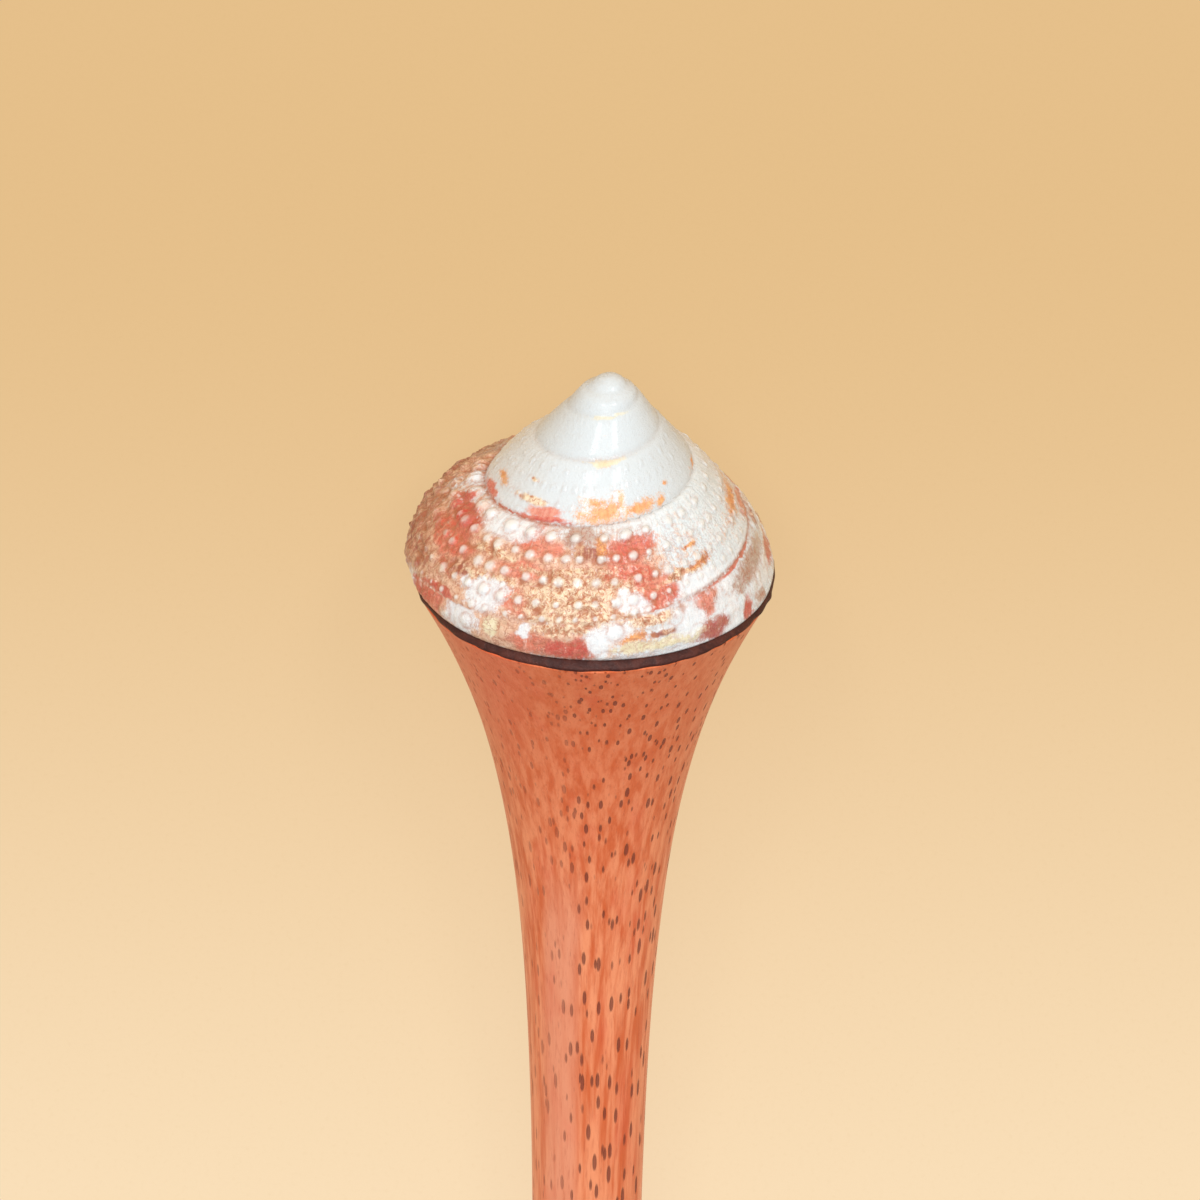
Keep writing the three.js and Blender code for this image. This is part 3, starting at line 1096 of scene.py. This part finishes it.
@dataclass(frozen=True)
class FillerFinish:
    """Dark purple-brown glue, smeared and half glossy."""

    dark: Colour = (0.045, 0.011, 0.008)
    pale: Colour = (0.09, 0.022, 0.014)

    def material(self) -> bpy.types.Material:
        """Returns the finish."""
        filler = Surface("filler finish")
        place = filler.kept_place("upright")
        smears = filler.noise(place, 1.1, 4.0, 0.6, 0.5)
        specks = filler.noise(place, 7.0, 3.0, 0.7)
        colour = filler.mixed(smears.step(0.35, 0.7), self.dark, self.pale)
        colour = filler.mixed(specks.step(0.6, 0.75) * 0.5, colour, lighter(self.pale, 0.1))
        normal = filler.bump(specks, 0.05 * MM, filler.bump(smears, 0.12 * MM))
        return filler.finish({
            "Base Color": colour, "Roughness": 0.35 + specks * 0.25, "Normal": normal,
            "Specular IOR Level": 0.25,
        })


@dataclass(frozen=True)
class WoodFinish:
    """Orange-brown turned hardwood with short dark pores, lightly polished."""

    ground: Colour = (0.64, 0.12, 0.032)
    warm: Colour = (0.88, 0.30, 0.14)
    # painted highlight: the lighter band down the left side of the stem
    light: Colour = (0.80, 0.295, 0.165)
    dark: Colour = (0.42, 0.065, 0.02)
    red: Colour = (0.70, 0.10, 0.045)
    pore: Colour = (0.14, 0.025, 0.018)

    def material(self) -> bpy.types.Material:
        """Returns the finish."""
        wood = Surface("wood finish")
        place = wood.kept_place("upright")
        grain = wood.noise(wood.stretch(place, (1.0, 1.0, 0.05)), 1.6, 4.0, 0.6, 0.25)
        bands = wood.noise(wood.stretch(place, (1.0, 1.0, 0.04)), 0.3, 2.0, 0.5, 0.2)
        clouds = wood.noise(wood.stretch(place, (1.0, 1.0, 0.4)), 0.5, 3.0)
        fibres = wood.noise(wood.stretch(place, (1.0, 1.0, 0.09)), 6.0, 3.0, 0.7)
        parts = wood.node("ShaderNodeSeparateXYZ", None, {"Vector": place})
        aside, height = parts.value(0) + (bands - 0.5) * 3.0, parts.value(2)
        # painted shade: more of the darker ground shows towards the head, less further down the stem
        lower = height.step(0.0, -30.0)
        colour = wood.mixed(grain.step(0.34, 0.66) * (0.35 + lower * 0.65), self.ground, self.warm)
        # painted highlight: a lighter band down the stem's left side, below the flare
        highlight_band = aside.step(-3.6, -2.5) * aside.step(-0.4, -1.6) * height.step(-18.0, -27.0)
        colour = wood.mixed(highlight_band * (0.4 + grain * 0.8), colour, self.light)
        colour = wood.mixed(clouds.step(0.5, 0.75) * 0.3, colour, self.red)
        colour = wood.mixed(aside.step(-2.0, -7.0) * height.step(-14.0, -6.0) * 0.35, colour, self.red)
        colour = wood.mixed(fibres.step(0.48, 0.8) * 0.45, colour, self.dark)
        pores = self._pores(wood, place) * (0.5 + aside.step(-2.4, -0.6) * 0.5)
        colour = wood.mixed(pores * 0.75, colour, self.pore)
        roughness = 0.36 + (fibres - 0.5) * 0.3 + pores * 0.2
        normal = wood.bump(1.0 - pores, 0.08 * MM, wood.bump(fibres, 0.03 * MM))
        return wood.finish({
            "Base Color": colour, "Roughness": roughness, "Normal": normal,
            "Specular IOR Level": 0.22, "Coat Weight": 0.05, "Coat Roughness": 0.25,
        })

    @staticmethod
    def _pores(wood: Surface, place: Term) -> Term:
        """Returns 1 in the wood's pores: short strokes along the stem, a few to a millimetre."""
        cells = wood.stretch(place, (2.1, 2.1, 0.4))
        sockets = {"Vector": cells, "Scale": 1.0, "Randomness": 1.0}
        found = wood.node("ShaderNodeTexVoronoi", {"feature": "F1"}, sockets)
        luck = wood.node("ShaderNodeSeparateColor", None, {"Color": found.value("Color")}).value(0)
        return (found.value("Distance") + luck * 0.16).step(0.37, 0.23)


@dataclass(frozen=True)
class FloorFinish:
    """Matt, warm pale board, lighter towards the stem's end, glowing so that shadows stay faint."""

    near: Colour = (0.875, 0.685, 0.455)
    far: Colour = (0.69, 0.455, 0.215)
    glow: float = 0.85  # the part of the board's light that is its own
    glow_strength: float = 1.1
    unlit: Colour = (0.0, 0.0, 0.0)

    def material(self) -> bpy.types.Material:
        """Returns the finish."""
        floor = Surface("floor finish")
        place = floor.kept_place("upright")
        along = floor.node("ShaderNodeSeparateXYZ", None, {"Vector": place}).value(0)
        grain = floor.noise(place, 2.5, 3.0, 0.6)
        colour = floor.mixed(along.step(-45.0, 60.0), self.near, self.far)
        colour = floor.mixed((grain - 0.5).step(0.0, 0.3) * 0.06, colour, deeper(self.far, 0.8))
        return floor.finish({
            "Base Color": floor.mixed(self.glow, colour, self.unlit),
            "Roughness": 0.75 + (grain - 0.5) * 0.2, "Specular IOR Level": 0.25,
            "Normal": floor.bump(grain, 0.02 * MM),
            "Emission Color": colour, "Emission Strength": self.glow * self.glow_strength,
        })


def lighter(colour: Colour, part: float) -> Colour:
    """Returns a colour moved this part of the way to white."""
    return tuple(channel + (1 - channel) * part for channel in colour)


def creamier(colour: Colour, part: float) -> Colour:
    """Returns a colour moved this part of the way to cream."""
    return tuple(channel + (cream - channel) * part for channel, cream in zip(colour, (0.93, 0.80, 0.62)))


def richer(colour: Colour) -> Colour:
    """Returns a deeper, more saturated colour."""
    strongest = max(colour)
    return tuple(0.88 * channel * (channel / strongest) ** 0.45 for channel in colour)


def deeper(colour: Colour, part: float) -> Colour:
    """Returns a colour with this part of its light."""
    return tuple(channel * part for channel in colour)


# ---------------------------------------------------------------- the studio


@dataclass(frozen=True)
class SoftBox:
    """A rectangular lamp that faces the object. Its place is upright, in millimetres."""

    name: str
    towards: Colour
    distance: float
    wide: float
    high: float
    watts: float
    tint: Colour = (1.0, 1.0, 1.0)


@dataclass
class Studio:
    """The floor, the soft light and the camera."""

    floor_side: float = 3.0
    lens: float = 720.0  # in millimetres, on a sensor 36 mm wide
    distance: float = 1629.0
    above: float = math.radians(33)  # how far the view leans from straight down towards the tip
    roll: float = math.radians(0.7)
    aim: Colour = (0.373, 0.0, -1.779)  # off the wooden head's middle, in the picture's plane
    daylight: float = 0.58
    boxes: tuple[SoftBox, ...] = (
        SoftBox("left key", (-0.30, -0.68, 0.74), 620, 110, 170, 0.98),
        SoftBox("right key", (0.32, -0.68, 0.74), 620, 110, 170, 1.1),
        SoftBox("front", (0.0, -0.84, 0.54), 1800, 900, 900, 10.9),
    )

    def build(self, laid: Matrix) -> bpy.types.Object:
        """Makes the lights and the camera and lays the floor.

        Args:
            laid: the matrix that lays upright pieces down.

        Returns:
            The floor.
        """
        bpy.context.scene.view_settings.view_transform = "Standard"
        self._add_daylight()
        for box in self.boxes:
            self._add_box(box, laid)
        self._add_camera(laid)
        return self._floor()

    def _add_daylight(self) -> None:
        """Adds even light from everywhere."""
        world = bpy.data.worlds.new("daylight")
        world.use_nodes = True
        bpy.context.scene.world = world
        shade = world.node_tree.nodes["Background"]
        shade.inputs["Color"].default_value = (0.97, 0.99, 1.0, 1.0)
        shade.inputs["Strength"].default_value = self.daylight

    @staticmethod
    def _add_box(box: SoftBox, laid: Matrix) -> None:
        """Adds a lamp."""
        light = bpy.data.lights.new(box.name, "AREA")
        light.shape, light.size, light.size_y = "RECTANGLE", box.wide * MM, box.high * MM
        light.energy, light.color = box.watts, box.tint
        lamp = bpy.data.objects.new(box.name, light)
        away = Vector(box.towards).normalized()
        lamp.matrix_world = laid @ facing(away * box.distance * MM, away, 0.0)
        bpy.context.scene.collection.objects.link(lamp)

    def _add_camera(self, laid: Matrix) -> None:
        """Adds the camera, looking down on the front of the shell."""
        lens = bpy.data.cameras.new("camera")
        lens.lens, lens.sensor_width, lens.clip_start = self.lens, 36.0, 0.01
        camera = bpy.data.objects.new("camera", lens)
        back = Vector((0, -math.cos(self.above), math.sin(self.above)))
        turned = facing(Vector((0, 0, 0)), back, self.roll).to_3x3()
        aim = turned @ Vector((self.aim[0], self.aim[2], 0)) * MM
        camera.matrix_world = laid @ facing(aim + back * self.distance * MM, back, self.roll)
        bpy.context.scene.collection.objects.link(camera)
        bpy.context.scene.camera = camera

    def _floor(self) -> bpy.types.Object:
        """Returns the plain board that the stick lies on."""
        half = self.floor_side / 2
        corners = np.array([(-half, -half, 0), (half, -half, 0), (half, half, 0), (-half, half, 0)])
        floor = mesh_object("floor", corners, [(0, 1, 2, 3)], Matrix.Identity(4))
        floor.data.materials.append(FloorFinish().material())
        return floor


def facing(place: Vector, back: Vector, roll: float) -> Matrix:
    """Stands a camera or lamp up.

    Args:
        place: where it stands.
        back: the direction it has its back to.
        roll: how far it leans to its left, in radians.

    Returns:
        Its matrix, with its top towards the shell's tip.
    """
    up = (Vector((0, 0, 1)) - back * back.z).normalized()
    axes = Matrix((up.cross(back), up, back)).transposed().to_4x4()
    return Matrix.Translation(place) @ axes @ Matrix.Rotation(roll, 4, "Z")


# ---------------------------------------------------------------- the scene


def declare(piece: bpy.types.Object, node: str, material: bpy.types.Material) -> None:
    """Dresses a piece, hangs it under the root and hides the node that it replaces.

    Args:
        piece: the piece.
        node: the name of the node that it replaces.
        material: the finish.
    """
    piece.data.materials.append(material)
    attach(piece, "root")
    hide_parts(node)
    log.info("%s: %d faces", piece.name, len(piece.data.polygons))


def main() -> None:
    """Builds the shell, the filler, the stem and the studio."""
    logging.basicConfig(level=logging.INFO, format="%(name)s: %(message)s")
    laid = Placement(stem_length=WoodenStem.length * MM).matrix()
    declare(TurbanShell().build(laid), "turban_shell", ShellFinish().material())
    declare(SeamFiller().build(laid), "seam_filler", FillerFinish().material())
    declare(WoodenStem().build(laid), "wooden_stem", WoodFinish().material())
    Studio().build(laid)


if __name__ == "__main__":
    main()
